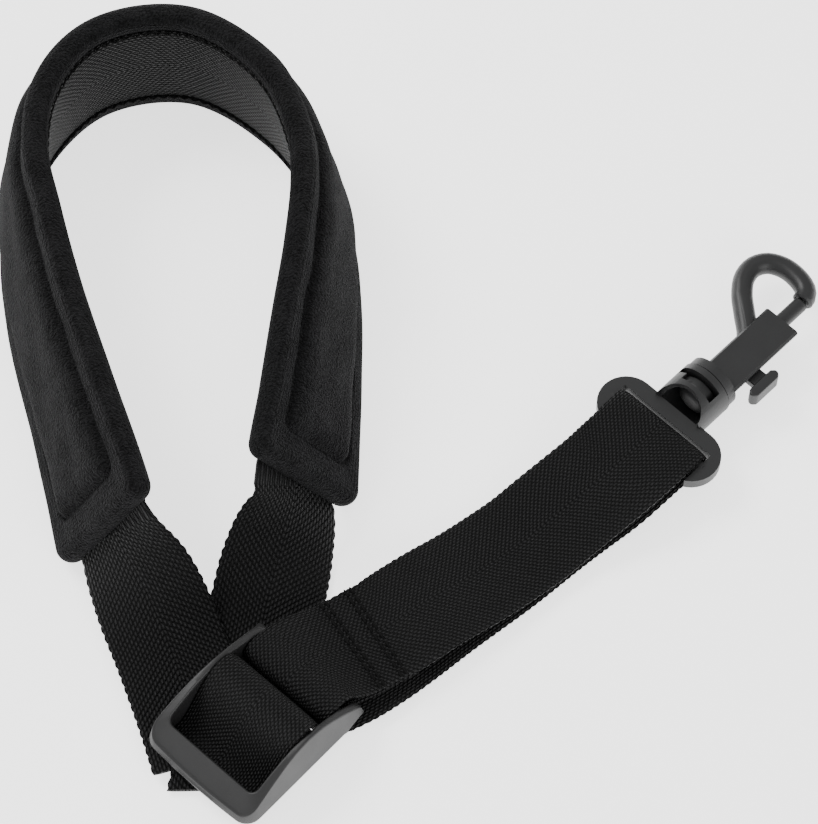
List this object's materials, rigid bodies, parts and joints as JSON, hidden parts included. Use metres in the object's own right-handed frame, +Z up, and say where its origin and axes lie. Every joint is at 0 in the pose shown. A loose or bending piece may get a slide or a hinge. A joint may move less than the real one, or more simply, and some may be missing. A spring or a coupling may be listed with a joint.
{
  "type": "saxophone neck strap",
  "caption": "Padded neck strap lying on a table: plush neck loop, webbing legs, slide adjuster and swivel snap hook with spring bolt.",
  "frame": {"origin": "centre of the footprint, at table height", "axes": "+X to the right, +Y away from the viewer along the neck loop, +Z up from the table"},
  "size_m": [0.259, 0.268, 0.0463],
  "materials": {
    "pad_fabric": "black plush cloth",
    "foam": "soft foam",
    "webbing": "herringbone woven webbing",
    "thread": "twisted sewing thread",
    "frame_plastic": "fine matte moulding",
    "hook_plastic": "satin moulding",
    "spring_steel": "wire"
  },
  "bodies": {
    "neck_loop": {"pad_outer_cover": "pad_fabric", "pad_foam_core": "foam", "pad_inner_lining": "pad_fabric", "left_end_binding": "pad_fabric", "right_end_binding": "pad_fabric", "neck_webbing": "webbing", "upper_edge_stitching": "thread", "lower_edge_stitching": "thread", "adjuster_root_tab": "webbing", "root_stitching": "thread"},
    "slider": {"slider_frame": "frame_plastic", "adjuster_payout": "webbing", "adjuster_hump": "webbing", "sewn_loop": "webbing", "loop_stitch_row_1": "thread", "loop_stitch_row_2": "thread", "lower_run": "webbing", "upper_run": "webbing"},
    "ring_end": {"strap_bight": "webbing"},
    "swivel_mount": {"swivel_base": "hook_plastic"},
    "hook": {"hook_body": "hook_plastic", "swivel_head": "hook_plastic", "bolt_spring": "spring_steel"},
    "latch": {"latch_bolt": "hook_plastic", "thumb_tab": "hook_plastic"}
  },
  "joints": [
    {"name": "slider_along_strap", "type": "slide", "parent": "neck_loop", "child": "slider", "axis": [0.7862, 0.618, 0], "range_m": [0, 0.12], "deforming": ["adjuster_payout"]},
    {"name": "ring_take_up", "type": "slide", "parent": "slider", "child": "ring_end", "axis": [0.7862, 0.618, 0], "range_m": [-0.06, 0], "deforming": ["lower_run", "upper_run"]},
    {"name": "ring_tilt", "type": "hinge", "parent": "ring_end", "child": "swivel_mount", "pos_m": [0.07715, -0.00616, 0.00961], "axis": [0.7133, -0.7009, 0], "range_deg": [0, 80]},
    {"name": "hook_swivel", "type": "hinge", "parent": "swivel_mount", "child": "hook", "pos_m": [0.09299, 0.00996, 0.00961], "axis": [0.7009, 0.7133, 0], "continuous": true},
    {"name": "bolt_slide", "type": "slide", "parent": "hook", "child": "latch", "axis": [-0.7009, -0.7133, 0], "range_m": [0, 0.0054], "stiffness_N_per_m": 250, "springref_m": -0.003, "deforming": ["bolt_spring"]}
  ],
  "couplings": [
    {"joint": "ring_take_up", "follows": "slider_along_strap", "ratio": -0.5}
  ]
}
